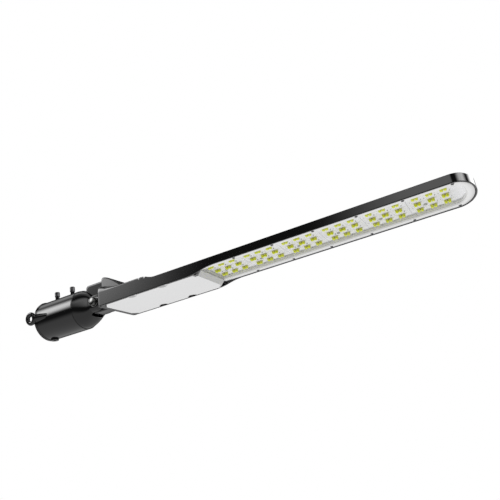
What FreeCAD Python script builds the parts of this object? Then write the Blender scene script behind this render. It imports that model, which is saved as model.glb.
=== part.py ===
import FreeCAD, Part
import math
import os

from FreeCAD import Vector

# LED street light head on a tilting pole spigot.
# Millimetres. The origin is the centre of the pole socket's mouth, +X runs
# along the head to its tip, +Z is up, and the lamps face down.

# Pole spigot
pole_diameter = 60.0
pole_clearance = 1.0
spigot_wall = 6.5
web_thickness = 6.0
lip_height = 1.2
lip_width = 5.0
nose_start = 93.0
nose_step = 0.8
nose_level = 9.0
nose_length = 32.0
nose_end_radius = 21.0
nose_lift = 8.0

# Set bolts on top of the spigot, and the drain boss under its mouth
set_bolt_diameter = 8.0
set_bolt_head_diameter = 9.6
set_bolt_head_height = 9.6
set_bolt_stand = 7.5
set_bolt_first_x = 23.0
set_bolt_pitch = 40.0
drain_boss_x = 13.0
drain_boss_diameter = 15.0
drain_boss_height = 3.2
drain_hole_diameter = 5.0

# Safety-line eye beside the mouth
eye_radius = 12.6
eye_hole_diameter = 8.4
eye_thickness = 8.0
eye_stand = 2.0
eye_overhang = 2.0
eye_fairing_length = 34.0
eye_fairing_end = 8.0

# Tilting joint between the spigot's fork and the head's tongue
hinge_x = 137.0
tilt_up = 15.0
fork_radius = 17.5
fork_half_width = 27.0
cheek_thickness = 8.6
fork_clearance = 0.4
tongue_width = 28.0
tongue_reach = 25.5
tongue_rise = 40.0
tongue_heel_radius = 16.0
tongue_top_radius = 5.0
tongue_bevel = 2.0
heel_clearance = 2.0
swing_clearance = 3.0
bolt_diameter = 10.0
running_clearance = 0.05
bolt_head_flats = 16.0
bolt_head_height = 6.4
bolt_end_length = 3.0
washer_diameter = 18.0
washer_thickness = 2.0
nut_height = 8.0
wrench_room = 5.0

# Rounded knuckle between the tongue and the roof of the driver bay
knuckle_radius = 43.0
knuckle_width = 62.0
knuckle_edge_radius = 20.0
knuckle_forward = 6.0
knuckle_back = 7.0
knuckle_up = 4.0

# Cast housing
neck_length = 30.0
housing_width = 101.4
housing_thickness = 13.5
top_drop = 1.8
rear_corner_radius = 3.0
rim_wall = 2.6
bay_length = 200.0
bay_step = 7.1
ramp_lead = 15.0
ramp_length = 59.0
tip_length = 29.0
tip_gap = 13.0

# Raised roof of the driver bay
roof_side_rise = 4.4
roof_shoulder_radius = 12.0
roof_rear_rise = 16.2
roof_flat_rise = 6.6
roof_edge_radius = 4.0
roof_fall_end = 56.0
roof_flat_end = 96.0
roof_end = 127.0
roof_wall = 3.0
high_roof_end = 88.0
groove_first = 94.0
groove_pitch = 12.0
groove_count = 2
groove_width = 3.0
groove_depth = 3.5

# Cooling fins on the top
fin_count = 9
fin_spacing = 8.4
fin_thickness = 2.4
fin_height = 3.6
fin_start = 139.0
fin_end_gap = 10.0

# LED boards and chips
group_count = 6
led_columns = 3
led_pitch = 20.0
led_rows = 3
row_pitch = 24.15
first_led_gap = 22.0
board_end = 13.7
board_side_gap = 1.0
board_gap = 0.4
board_thickness = 1.6
board_seat = 4.0
chip_length = 10.0
chip_width = 4.4
chip_height = 1.6
board_screw_diameter = 3.0
board_screw_head = 5.6
board_screw_head_height = 1.8
board_screw_grip = 2.6

# Lens plate and its gasket
plate_recess = 0.9
plate_thickness = 2.4
plate_gap = 0.4
tray_rise = 2.4
tray_end_gap = 14.0
lens_length = 17.0
lens_width = 10.8
lens_height = 2.7
lens_slope = 3.0
lens_facets = 5
gasket_thickness = 1.2
gasket_width = 2.5
seat_width = 9.4
lens_screw_diameter = 4.0
lens_screw_head = 7.0
lens_screw_head_height = 2.2
lens_screw_inset = 4.3
lens_screw_start = 8.1
thread_length = 5.0

# Driver cover and its gasket
cover_thickness = 3.0
cover_rear_gap = 8.0
cover_nose_overlap = 11.0
cover_nose_slope = 6.5
cover_nose_gap = 0.3
cover_skirt = 3.0
cover_corner_width = 12.0
cover_corner_length = 10.0
cover_nose_corner_width = 9.0
cover_nose_corner_length = 12.0
cover_seat_gap = 22.0
cover_screw_first = 74.0
cover_screw_pitch = 64.0
cover_screw_inset = 3.9
cover_well_diameter = 12.0
cover_well_depth = 1.6
cover_screw_head = 7.6
cover_screw_head_height = 2.6

# What the driver bay holds
bay_rear_wall = 9.0
bay_front_wall = 8.0
driver_front_gap = 3.0
driver_side_gap = 3.0
driver_height = 12.0
driver_start = 44.0
driver_ear_length = 9.0
driver_ear_thickness = 2.0
driver_boss_diameter = 9.0
terminal_length = 15.0
terminal_width = 36.0
terminal_height = 13.0
terminal_start = 18.5
terminal_ways = 3
terminal_way_diameter = 5.0
surge_length = 52.0
surge_width = 10.0
surge_height = 11.0
surge_front_gap = 20.0
surge_wall_gap = 1.7
passage_diameter = 12.0
passage_rear_z = 24.0
passage_front_z = -2.0
gland_length = 14.0
gland_collar_diameter = 17.0
gland_collar_length = 5.0
cable_diameter = 8.0
web_hole_z = 18.0
wire_hole_diameter = 4.4
vent_x = 74.0
vent_side_gap = 6.7
vent_diameter = 12.0
vent_cap_diameter = 16.0
vent_cap_height = 3.0

# Overlap of a cutting or joining shape past the face that it meets
past = 1.0

# Flat sides of the bars that stand for small round things, and of a hexagon
small_sides = 8
hexagon_sides = 6

# Levels and stations that follow from the sizes above
spigot_bore = pole_diameter / 2 + pole_clearance
spigot_radius = spigot_bore + spigot_wall
half_tongue = tongue_width / 2
slot_half = half_tongue + fork_clearance
cheek_face = slot_half + cheek_thickness
bolt_radius = bolt_diameter / 2
hinge_hole = bolt_radius + running_clearance
tongue_corner = math.hypot(tongue_reach, tongue_rise)
tongue_angle = math.atan2(tongue_rise, tongue_reach) - math.radians(tilt_up)
slot_rear_x = hinge_x - tongue_corner * math.cos(tongue_angle) - swing_clearance
socket_depth = slot_rear_x - web_thickness
heel_x = tongue_reach - tongue_heel_radius
heel_z = fork_radius - tongue_heel_radius
heel_swing = math.hypot(heel_x, heel_z) + tongue_heel_radius + heel_clearance
rear_x = hinge_x + neck_length
half_width = housing_width / 2
top_z = -top_drop
rim_z = top_z - housing_thickness
bay_rim_z = rim_z - bay_step
lens_start_x = rear_x + bay_length
first_led_x = lens_start_x + first_led_gap
group_length = (led_columns - 1) * led_pitch
board_length = group_length + 2 * board_end
group_pitch = board_length + board_gap
last_led_x = first_led_x + (group_count - 1) * group_pitch + group_length
tip_centre_x = last_led_x + tip_gap
tip_x = tip_centre_x + tip_length
board_top_z = top_z - board_seat
board_face_z = board_top_z - board_thickness
plate_face_z = rim_z + plate_recess
plate_top_z = plate_face_z + plate_thickness
tray_face_z = plate_face_z + tray_rise
tray_top_z = tray_face_z + plate_thickness
gasket_inset = rim_wall + seat_width - gasket_width
pocket_inset = rim_wall + seat_width
tray_margin = seat_width + plate_gap + plate_thickness
cover_top_z = bay_rim_z + cover_thickness
high_roof_z = top_z + roof_flat_rise - roof_wall
low_roof_z = top_z - roof_wall
seat_front_x = lens_start_x - cover_seat_gap
cover_nose_x = lens_start_x + cover_nose_overlap
bay_end_x = seat_front_x - bay_front_wall
bay_half_width = half_width - pocket_inset
driver_start_x = rear_x + driver_start
driver_end_x = bay_end_x - driver_front_gap - driver_ear_length
surge_start_x = bay_end_x - surge_front_gap - surge_length
surge_y = bay_half_width - surge_wall_gap - surge_width / 2
driver_half_width = surge_y - surge_width / 2 - driver_side_gap
vent_y = bay_half_width - vent_side_gap - vent_diameter / 2
bay_start_x = rear_x + cover_rear_gap + bay_rear_wall
lens_screw_y = half_width - rim_wall - plate_gap - lens_screw_inset
cover_screw_y = half_width - rim_wall - plate_gap - cover_screw_inset
led_stations = [first_led_x + g * group_pitch for g in range(group_count)]
row_places = [(r - (led_rows - 1) / 2) * row_pitch for r in range(led_rows)]
lens_screw_places = [(lens_start_x + lens_screw_start + k * group_pitch, side * lens_screw_y)
                     for k in range(group_count + 1) for side in (-1, 1)]
cover_screw_places = [(rear_x + cover_screw_first + k * cover_screw_pitch, side * cover_screw_y)
                      for k in range(2) for side in (-1, 1)]


def lines(points):
    """Straight edges through the points, in order."""
    return [Part.makeLine(a, b) for a, b in zip(points, points[1:])]


def swept(edges, direction):
    """Solid swept from the face that the closed edges bound."""
    return Part.Face(Part.Wire(edges)).extrude(direction)


def in_xz(pairs):
    """Points of the XZ plane."""
    return [Vector(x, 0, z) for x, z in pairs]


def across(edges, y0, y1):
    """Solid with an XZ outline between two places on Y."""
    solid = swept(edges, Vector(0, y1 - y0, 0))
    solid.translate(Vector(0, y0, 0))
    return solid


def slab(x0, x1, y0, y1, z0, z1):
    """Box between two stations on each axis."""
    return Part.makeBox(x1 - x0, y1 - y0, z1 - z0, Vector(x0, y0, z0))


def upright(x, y, z0, z1, diameter):
    """Round bar along Z."""
    return Part.makeCylinder(diameter / 2, z1 - z0, Vector(x, y, z0))


def crosswise(x, z, y0, y1, diameter):
    """Round bar along Y."""
    return Part.makeCylinder(diameter / 2, y1 - y0, Vector(x, y0, z), Vector(0, 1, 0))


def prism(start, end, flats, sides):
    """Bar of equal flat sides between two points, measured across its flats."""
    reach = flats / 2 / math.cos(math.pi / sides)
    turns = [math.pi * (2 * i + 1) / sides for i in range(sides + 1)]
    ring = [Vector(reach * math.cos(a), reach * math.sin(a), 0) for a in turns]
    bar = swept(lines(ring), Vector(0, 0, (end - start).Length))
    turn = FreeCAD.Rotation(Vector(0, 0, 1), end - start)
    bar.Placement = FreeCAD.Placement(start, turn)
    return bar


def stud(x, y, z0, z1, flats):
    """Upright bar for small round things, with few sides to keep the mesh light."""
    return prism(Vector(x, y, z0), Vector(x, y, z1), flats, small_sides)


def s_curve(a, b):
    """Two tangent arcs in XZ that take a level line from a to b."""
    run = b.x - a.x
    rise = b.z - a.z
    radius = (run * run + rise * rise) / (4 * abs(rise))
    half_turn = math.asin(run / 2 / radius) / 2
    ahead = Vector(radius * math.sin(half_turn), 0, 0)
    aside = Vector(0, 0, math.copysign(radius * (1 - math.cos(half_turn)), rise))
    middle = (a + b) * 0.5
    first = Part.Arc(a, a + ahead + aside, middle)
    second = Part.Arc(middle, b - ahead - aside, b)
    return [first.toShape(), second.toShape()]


def corner(before, point, after, radius):
    """Start, middle and end of the arc that rounds a right-angled corner."""
    a = (before - point).normalize() * radius
    b = (after - point).normalize() * radius
    start = point + a
    end = point + b
    middle = point + (a + b) * (1 - math.sqrt(0.5))
    return start, middle, end


def plan(start_x, inset, z0, z1):
    """The head's plan, drawn in from its edge by inset, between two levels."""
    half = half_width - inset
    centre = Vector(tip_centre_x, 0, z0)
    aside = Vector(0, half, 0)
    nose = Part.Ellipse(centre + aside, centre - Vector(tip_length - inset, 0, 0), centre)
    tip = Part.ArcOfEllipse(nose, math.pi, 2 * math.pi).toShape()
    sides = lines([centre + aside, Vector(start_x, half, z0), Vector(start_x, -half, z0),
                   centre - aside])
    return swept(sides + [tip], Vector(0, 0, z1 - z0))


def drilled(solid, places, z0, z1, diameter):
    """The solid with a small hole at each place."""
    return solid.cut([stud(x, y, z0, z1, diameter) for x, y in places])


def screws(places, head_z, head, head_height, diameter, tip_z):
    """Flat-headed screws that point up, one for each place."""
    group = []
    for x, y in places:
        body = stud(x, y, head_z, head_z + head_height, head)
        group.append(body.fuse(stud(x, y, head_z, tip_z, diameter)).removeSplitter())
    return Part.makeCompound(group)


def spigot_tube():
    """Round tube with a raised lip at its mouth."""
    along = Vector(1, 0, 0)
    tube = Part.makeCylinder(spigot_radius, nose_start, Vector(0, 0, 0), along)
    lip = Part.makeCylinder(spigot_radius + lip_height, lip_width, Vector(0, 0, 0), along)
    return tube.fuse(lip)


def spigot_nose():
    """Nose that narrows to the fork: level on top at first, and drawn in from below."""
    along = Vector(1, 0, 0)
    radius = spigot_radius - nose_step
    level = Part.makeCylinder(radius, nose_level, Vector(nose_start, 0, 0), along)
    taper = Part.makeCone(radius, nose_end_radius, nose_length - nose_level,
                          Vector(nose_start + nose_level, 0, 0), along)
    under = Part.makeCone(radius - nose_step + nose_lift, fork_radius + nose_lift, nose_length,
                          Vector(nose_start, 0, nose_lift), along)
    return level.fuse(taper).common(under)


def oval_bar(x0, x1):
    """Bar along X with the fork's oval section."""
    oval = Part.Ellipse(Vector(x0, fork_half_width, 0), Vector(x0, 0, fork_radius),
                        Vector(x0, 0, 0))
    return swept([oval.toShape()], Vector(x1 - x0, 0, 0))


def eye_lug():
    """Eye beside the mouth, with the fairing that runs back along the tube."""
    near = -(spigot_radius + eye_stand + eye_thickness)
    far = near + eye_thickness
    x = -eye_overhang
    ring = crosswise(x, 0, near, far, 2 * eye_radius)
    end = eye_fairing_length
    side = lines(in_xz([(x, eye_radius), (end, eye_fairing_end), (end, -eye_fairing_end),
                        (x, -eye_radius), (x, eye_radius)]))
    blade = across(side, near, 0)
    foot = -spigot_bore
    taper = [(x, near), (0, near), (end, -spigot_radius), (end, foot), (0, foot), (0, far),
             (x, far), (x, near)]
    wedge = swept(lines([Vector(px, py, -eye_radius) for px, py in taper]),
                  Vector(0, 0, 2 * eye_radius))
    lug = ring.fuse(blade.common(wedge))
    hole = crosswise(x, 0, near - past, far + past, eye_hole_diameter)
    return lug.cut(hole)


def make_spigot():
    """Cast pole spigot: tube, nose, fork cheeks, safety-line eye and drain boss."""
    cheeks = crosswise(hinge_x, 0, -cheek_face, cheek_face, 2 * fork_radius)
    link = slab(nose_start, hinge_x, -cheek_face, cheek_face, -fork_radius, fork_radius)
    fork = cheeks.fuse(link).common(oval_bar(nose_start, hinge_x + fork_radius + past))
    boss = upright(drain_boss_x, 0, -spigot_radius - drain_boss_height, -spigot_bore,
                   drain_boss_diameter)
    body = spigot_tube().fuse([spigot_nose(), fork, boss, eye_lug()])
    slot = slab(slot_rear_x, hinge_x + 2 * fork_radius, -slot_half, slot_half,
                0, 2 * spigot_radius)
    heel = crosswise(hinge_x, 0, -slot_half, slot_half, 2 * heel_swing)
    bore = Part.makeCylinder(spigot_bore, socket_depth + past, Vector(-past, 0, 0),
                             Vector(1, 0, 0))
    passage = Part.makeCylinder(passage_diameter / 2, web_thickness + 2 * past,
                                Vector(socket_depth - past, 0, web_hole_z), Vector(1, 0, 0))
    pin_hole = crosswise(hinge_x, 0, -cheek_face - past, cheek_face + past, 2 * hinge_hole)
    drain = stud(drain_boss_x, 0, -2 * spigot_radius, 0, drain_hole_diameter)
    cuts = [slot, heel, bore, passage, pin_hole, drain]
    for y in (-cheek_face - spigot_radius, cheek_face):
        cuts.append(crosswise(hinge_x, 0, y, y + spigot_radius,
                              washer_diameter + 2 * wrench_room))
    for x in (set_bolt_first_x, set_bolt_first_x + set_bolt_pitch):
        cuts.append(stud(x, 0, 0, 2 * spigot_radius, set_bolt_diameter + 2 * running_clearance))
    return body.cut(cuts).removeSplitter()


def make_set_bolts():
    """Two stainless set bolts that clamp the pole from above."""
    group = []
    for x in (set_bolt_first_x, set_bolt_first_x + set_bolt_pitch):
        neck = spigot_radius + set_bolt_stand
        bolt = stud(x, 0, spigot_bore, neck, set_bolt_diameter)
        bolt = bolt.fuse(stud(x, 0, neck, neck + set_bolt_head_height, set_bolt_head_diameter))
        group.append(bolt.removeSplitter())
    return Part.makeCompound(group)


def make_hinge_bolt():
    """Stainless bolt through both cheeks and the tongue, with its head on the near side."""
    near = -(cheek_face + washer_thickness)
    far = cheek_face + washer_thickness + nut_height + bolt_end_length
    head = prism(Vector(hinge_x, near - bolt_head_height, 0), Vector(hinge_x, near, 0),
                 bolt_head_flats, hexagon_sides)
    return head.fuse(crosswise(hinge_x, 0, near - past, far, bolt_diameter)).removeSplitter()


def make_hinge_washers():
    """Plain washers under the bolt's head and its nut."""
    group = []
    for y in (-cheek_face - washer_thickness, cheek_face):
        disc = prism(Vector(hinge_x, y, 0), Vector(hinge_x, y + washer_thickness, 0),
                     washer_diameter, 2 * small_sides)
        group.append(disc.cut(prism(Vector(hinge_x, y - past, 0),
                                    Vector(hinge_x, y + washer_thickness + past, 0),
                                    2 * hinge_hole, small_sides)))
    return Part.makeCompound(group)


def make_hinge_nut():
    """Locking nut on the far side of the fork."""
    y = cheek_face + washer_thickness
    nut = prism(Vector(hinge_x, y, 0), Vector(hinge_x, y + nut_height, 0), bolt_head_flats,
                hexagon_sides)
    return nut.cut(prism(Vector(hinge_x, y - past, 0), Vector(hinge_x, y + nut_height + past, 0),
                         2 * hinge_hole, small_sides))


def tongue():
    """Upright tongue between the cheeks, oval below like the fork and bevelled above."""
    x = hinge_x - tongue_reach
    front = rear_x + past
    low_rear = Vector(x, 0, -fork_radius)
    top_rear = Vector(x, 0, tongue_rise)
    low_front = Vector(front, 0, -fork_radius)
    top_front = Vector(front, 0, tongue_rise)
    heel = corner(low_front, low_rear, top_rear, tongue_heel_radius)
    brow = corner(low_rear, top_rear, top_front, tongue_top_radius)
    edges = lines([low_front, heel[0]]) + [Part.Arc(*heel).toShape()]
    edges += lines([heel[2], brow[0]]) + [Part.Arc(*brow).toShape()]
    edges += lines([brow[2], top_front, low_front])
    solid = across(edges, -half_tongue, half_tongue)
    sides = [e for e in solid.Edges if e.BoundBox.YLength < past
             and e.BoundBox.XMin < rear_x and e.BoundBox.ZMax > 0]
    solid = solid.makeChamfer(tongue_bevel, sides)
    upper = slab(x - past, front, -half_tongue, half_tongue, 0, tongue_rise + past)
    return solid.common(oval_bar(x - past, front).fuse(upper)).removeSplitter()


def knuckle():
    """Rounded form that runs from the tongue down into the bay's roof."""
    half = knuckle_width / 2
    drum = crosswise(hinge_x + knuckle_forward, knuckle_up, -half, half, 2 * knuckle_radius)
    rims = [e for e in drum.Edges if e.BoundBox.YLength < past]
    drum = drum.makeFillet(knuckle_edge_radius, rims)
    room = slab(rear_x - knuckle_back, rear_x + 2 * knuckle_radius, -half, half, top_z,
                2 * knuckle_radius)
    return drum.common(room)


def roof():
    """Raised roof of the driver bay: rounded shoulders, a fall from the rear and a run-out."""
    a = Vector(rear_x, 0, top_z - roof_wall)
    b = Vector(rear_x, 0, top_z + roof_rear_rise)
    level = Vector(rear_x + roof_end, 0, b.z)
    brow = corner(a, b, level, roof_edge_radius)
    c = Vector(rear_x + roof_fall_end, 0, top_z + roof_flat_rise)
    d = Vector(rear_x + roof_flat_end, 0, c.z)
    e = Vector(rear_x + roof_end, 0, top_z)
    f = Vector(e.x, 0, a.z)
    side = lines([a, brow[0]]) + [Part.Arc(*brow).toShape()]
    side += s_curve(brow[2], c) + lines([c, d]) + s_curve(d, e) + lines([e, f, a])
    length = across(side, -half_width, half_width)
    foot = top_z - roof_wall
    spring = top_z + roof_side_rise
    crest = spring + roof_shoulder_radius
    flat = half_width - roof_shoulder_radius
    swing = roof_shoulder_radius * math.sqrt(0.5)
    section = lines([Vector(rear_x, y, z) for y, z in
                     [(flat, crest), (-flat, crest)]])
    section.append(Part.Arc(Vector(rear_x, -flat, crest),
                            Vector(rear_x, -flat - swing, spring + swing),
                            Vector(rear_x, -half_width, spring)).toShape())
    section += lines([Vector(rear_x, y, z) for y, z in
                      [(-half_width, spring), (-half_width, foot), (half_width, foot),
                       (half_width, spring)]])
    section.append(Part.Arc(Vector(rear_x, half_width, spring),
                            Vector(rear_x, flat + swing, spring + swing),
                            Vector(rear_x, flat, crest)).toShape())
    return length.common(swept(section, Vector(roof_end, 0, 0)))


def fins():
    """Cooling fins along the top, each with sloping ends."""
    x0 = rear_x + fin_start
    x1 = tip_centre_x - fin_end_gap
    foot = top_z - past
    crest = top_z + fin_height
    slope = fin_height + past
    side = [(x0, foot), (x0 + slope, crest), (x1 - slope, crest), (x1, foot), (x0, foot)]
    group = []
    for i in range(fin_count):
        y = (i - (fin_count - 1) / 2) * fin_spacing
        group.append(across(lines(in_xz(side)), y - fin_thickness / 2, y + fin_thickness / 2))
    return group


def housing_form():
    """Outer form of the casting, before anything is hollowed out of it."""
    tall = plan(rear_x, 0, bay_rim_z - past, 3 * roof_rear_rise)
    tall = with_rear_corners(tall)
    low = with_rear_corners(plan(rear_x, 0, bay_rim_z - past, top_z))
    a = Vector(rear_x - past, 0, bay_rim_z)
    b = Vector(lens_start_x - ramp_lead, 0, bay_rim_z)
    c = Vector(b.x + ramp_length, 0, rim_z)
    end = tip_x + past
    high = top_z + past
    side = lines([a, b]) + s_curve(b, c)
    side += lines([c, Vector(end, 0, rim_z), Vector(end, 0, high), Vector(a.x, 0, high), a])
    low = low.common(across(side, -half_width - past, half_width + past))
    return low.fuse([roof().common(tall), knuckle(), tongue()] + fins())


def with_rear_corners(solid):
    """The solid with its two upright rear corners rounded."""
    upright_edges = [e for e in solid.Edges if e.BoundBox.XMax < rear_x + past
                     and e.BoundBox.ZLength > past]
    return solid.makeFillet(rear_corner_radius, upright_edges)


def corner_wedge(x, y, length, width, z0, z1):
    """Three-sided block on the corner at x, y: length back along X and width inwards."""
    inwards = -math.copysign(width, y)
    grow = math.copysign(past, length)
    out = -math.copysign(past, inwards)
    plan_points = [(x - grow, y + out), (x + length + grow, y + out),
                   (x - grow, y + inwards - out)]
    ring = [Vector(px, py, z0) for px, py in plan_points + plan_points[:1]]
    return swept(lines(ring), Vector(0, 0, z1 - z0))


def cover_recess():
    """Room for the cover and its nose, with a post left at each rear corner."""
    y = half_width - rim_wall
    x0 = rear_x + cover_rear_gap - plate_gap
    low = bay_rim_z - past
    recess = slab(x0, seat_front_x, -y, y, low, cover_top_z)
    nose = slab(seat_front_x, lens_start_x + past, -y, y, low, plate_top_z)
    posts = [corner_wedge(x0, side_y, cover_corner_length - plate_gap,
                          cover_corner_width - plate_gap, low - past, cover_top_z + past)
             for side_y in (-y, y)]
    return recess.cut(posts).fuse(nose)


def bay_cavity():
    """Hollow that holds the driver, high at the rear and low at the front."""
    y = bay_half_width
    step = rear_x + high_roof_end
    x1 = bay_end_x
    low = cover_top_z - past
    rebate = slab(bay_start_x - gasket_width, x1 + gasket_width, -y - gasket_width,
                  y + gasket_width, low, cover_top_z + gasket_thickness)
    high = slab(bay_start_x, step, -y, y, low, high_roof_z)
    return rebate.fuse([high, slab(step, x1, -y, y, low, low_roof_z)])


def passage_frame():
    """Rear end and bay end of the cable passage, and its direction."""
    start = Vector(hinge_x - tongue_reach, 0, passage_rear_z)
    end = Vector(bay_start_x, 0, passage_front_z)
    return start, end, (end - start).normalize()


def cable_passage():
    """Sloping bore that takes the supply cable over the hinge bolt into the bay."""
    start, end, along = passage_frame()
    bore = prism(start - along * 2 * past, end + along * 2 * past, passage_diameter,
                 small_sides)
    shoulder = end - along * gland_collar_length
    return bore.fuse(prism(shoulder, end + along * gland_collar_length, gland_collar_diameter,
                           small_sides))


def make_housing():
    """Die-cast housing: tongue, driver bay, heat-spreading web, rim and fins."""
    recess = plan(lens_start_x - plate_gap, rim_wall, bay_rim_z - past, plate_top_z)
    rebate = plan(lens_start_x + seat_width - gasket_width, gasket_inset, plate_top_z - past,
                  plate_top_z + gasket_thickness)
    pocket = plan(lens_start_x + seat_width, pocket_inset, plate_top_z - past, board_top_z)
    wire_z = (plate_top_z + gasket_thickness + board_top_z) / 2
    wires = prism(Vector(bay_end_x - past, 0, wire_z),
                  Vector(lens_start_x + seat_width + past, 0, wire_z), wire_hole_diameter,
                  small_sides)
    pin_hole = crosswise(hinge_x, 0, -half_tongue - past, half_tongue + past, 2 * hinge_hole)
    cuts = [recess, rebate, pocket, cover_recess(), bay_cavity(), wires, cable_passage(), pin_hole]
    floor = top_z + roof_flat_rise - groove_depth
    for i in range(groove_count):
        x = rear_x + groove_first + i * groove_pitch
        cuts.append(slab(x - groove_width / 2, x + groove_width / 2, -half_width - past,
                         half_width + past, floor, 2 * roof_rear_rise))
    vent_hole = stud(rear_x + vent_x, vent_y, high_roof_z - past,
                     high_roof_z + 2 * roof_wall, vent_diameter)
    body = housing_form().cut(cuts + [vent_hole])
    bosses = [stud(x, y, low_roof_z, high_roof_z + past, driver_boss_diameter)
              for x, y in driver_screw_places() if x < rear_x + high_roof_end]
    body = body.fuse(bosses)
    body = drilled(body, lens_screw_places, plate_top_z - past, plate_top_z + thread_length,
                   lens_screw_diameter)
    body = drilled(body, cover_screw_places, cover_top_z - past, cover_top_z + thread_length,
                   lens_screw_diameter)
    body = drilled(body, driver_screw_places(), low_roof_z - past,
                   low_roof_z + board_screw_grip, board_screw_diameter)
    body = drilled(body, board_screw_places(), board_top_z - past,
                   board_top_z + board_screw_grip, board_screw_diameter)
    return body.removeSplitter()


def board_screw_places():
    """One screw for each board, between its lamps."""
    return [(x + 0.5 * led_pitch, row_pitch / 2) for x in led_stations]


def make_board(station):
    """Aluminium board for one group of lamps, cut to the pocket's plan; the last fills the tip."""
    x0 = station - board_end
    x1 = x0 + board_length if station < led_stations[-1] else tip_x
    field = plan(lens_start_x + seat_width + board_side_gap, pocket_inset + board_side_gap,
                 board_face_z, board_top_z)
    board = field.common(slab(x0, x1, -half_width, half_width, board_face_z, board_top_z))
    mine = [p for p in board_screw_places() if x0 < p[0] < x1]
    return drilled(board, mine, board_face_z - past, board_top_z + past, board_screw_diameter)


def make_chips(station):
    """Twin lamps soldered to the face of one board."""
    group = []
    for c in range(led_columns):
        x = station + c * led_pitch
        for y in row_places:
            group.append(slab(x - chip_length / 2, x + chip_length / 2, y - chip_width / 2,
                              y + chip_width / 2, board_face_z - chip_height, board_face_z))
    return Part.makeCompound(group)


def lens_bump(x, y):
    """Oblong lens under one lamp: a barrel back of flat facets with sloping ends."""
    radius = (lens_width * lens_width / 4 + lens_height * lens_height) / (2 * lens_height)
    foot = tray_face_z + past
    crown = tray_face_z - lens_height
    left = x - lens_length / 2
    right = x + lens_length / 2
    swing = math.asin(lens_width / 2 / radius)
    turns = [swing * (2 * i / lens_facets - 1) for i in range(lens_facets + 1)]
    back = [Vector(left, y + radius * math.sin(a), crown + radius * (1 - math.cos(a)))
            for a in turns]
    rim = [Vector(left, y + lens_width / 2, foot), Vector(left, y - lens_width / 2, foot)]
    barrel = swept(lines(back + rim + back[:1]), Vector(lens_length, 0, 0))
    side = [(left, foot), (left, tray_face_z), (left + lens_slope, crown),
            (right - lens_slope, crown), (right, tray_face_z), (right, foot), (left, foot)]
    return barrel.common(across(lines(in_xz(side)), y - lens_width, y + lens_width))


def tray_form(inset, z0, z1):
    """Plan of the sunk lens field, between two levels."""
    return plan(lens_start_x + tray_end_gap - tray_margin + inset, rim_wall + inset, z0, z1)


def make_lens_plate():
    """Clear moulded plate: a screwed flange round a sunk field of lenses."""
    flange = plan(lens_start_x, rim_wall + plate_gap, plate_face_z, plate_top_z)
    tray = tray_form(tray_margin - plate_thickness, plate_face_z, tray_top_z)
    hollow = tray_form(tray_margin, plate_face_z - past, tray_face_z)
    plate = flange.fuse(tray).cut(hollow)
    lenses = [lens_bump(station + c * led_pitch, y) for station in led_stations
              for c in range(led_columns) for y in row_places]
    plate = plate.fuse(lenses)
    plate = drilled(plate, lens_screw_places, plate_face_z - past, plate_top_z + past,
                    lens_screw_diameter)
    return plate.removeSplitter()


def make_lens_gasket():
    """Silicone ring in the step at the inner edge of the lens plate's seat."""
    top = plate_top_z + gasket_thickness
    outer = plan(lens_start_x + seat_width - gasket_width, gasket_inset, plate_top_z, top)
    inner = plan(lens_start_x + seat_width, pocket_inset, plate_top_z - past, top + past)
    return outer.cut(inner)


def make_lens_screws():
    """Screws along both edges of the lens plate."""
    return screws(lens_screw_places, plate_face_z - lens_screw_head_height, lens_screw_head,
                  lens_screw_head_height, lens_screw_diameter, plate_top_z + thread_length)


def make_driver_cover():
    """White cover of the driver bay, with a skirted nose that closes on the lens plate."""
    y = half_width - rim_wall - plate_gap
    x0 = rear_x + cover_rear_gap
    nose = cover_nose_x
    front = nose - cover_nose_slope
    step = seat_front_x + plate_gap
    high = plate_face_z - cover_nose_gap
    side = in_xz([(x0, bay_rim_z), (front, bay_rim_z), (nose, high), (step, high),
                  (step, cover_top_z), (x0, cover_top_z), (x0, bay_rim_z)])
    cover = across(lines(side), -y, y)
    hollow = slab(step + cover_skirt, front - cover_skirt, -y + cover_skirt, y - cover_skirt,
                  cover_top_z, high + past)
    cuts = [hollow]
    for side_y in (-y, y):
        cuts.append(corner_wedge(x0, side_y, cover_corner_length, cover_corner_width,
                                 bay_rim_z - past, high))
        inner = side_y - math.copysign(cover_nose_corner_width, side_y)
        outer = side_y + math.copysign(past, side_y)
        cuts.append(slab(nose - cover_nose_corner_length, nose + past, min(inner, outer),
                         max(inner, outer), bay_rim_z - past, high + past))
    for px, py in cover_screw_places:
        cuts.append(prism(Vector(px, py, bay_rim_z - past),
                          Vector(px, py, bay_rim_z + cover_well_depth), cover_well_diameter,
                          2 * small_sides))
    cover = cover.cut(cuts)
    return drilled(cover, cover_screw_places, bay_rim_z - past, cover_top_z + past,
                   lens_screw_diameter)


def make_cover_gasket():
    """Silicone ring in the step at the inner edge of the cover's seat."""
    y = bay_half_width
    x1 = bay_end_x
    top = cover_top_z + gasket_thickness
    outer = slab(bay_start_x - gasket_width, x1 + gasket_width, -y - gasket_width,
                 y + gasket_width, cover_top_z, top)
    return outer.cut(slab(bay_start_x, x1, -y, y, cover_top_z - past, top + past))


def make_cover_screws():
    """Screws in the four wells of the cover."""
    head_z = bay_rim_z + cover_well_depth - cover_screw_head_height
    return screws(cover_screw_places, head_z, cover_screw_head, cover_screw_head_height,
                  lens_screw_diameter, cover_top_z + thread_length)


def driver_screw_places():
    """One screw in each end ear of the driver."""
    half_ear = driver_ear_length / 2
    return [(driver_start_x - half_ear, 0), (driver_end_x + half_ear, 0)]


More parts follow.
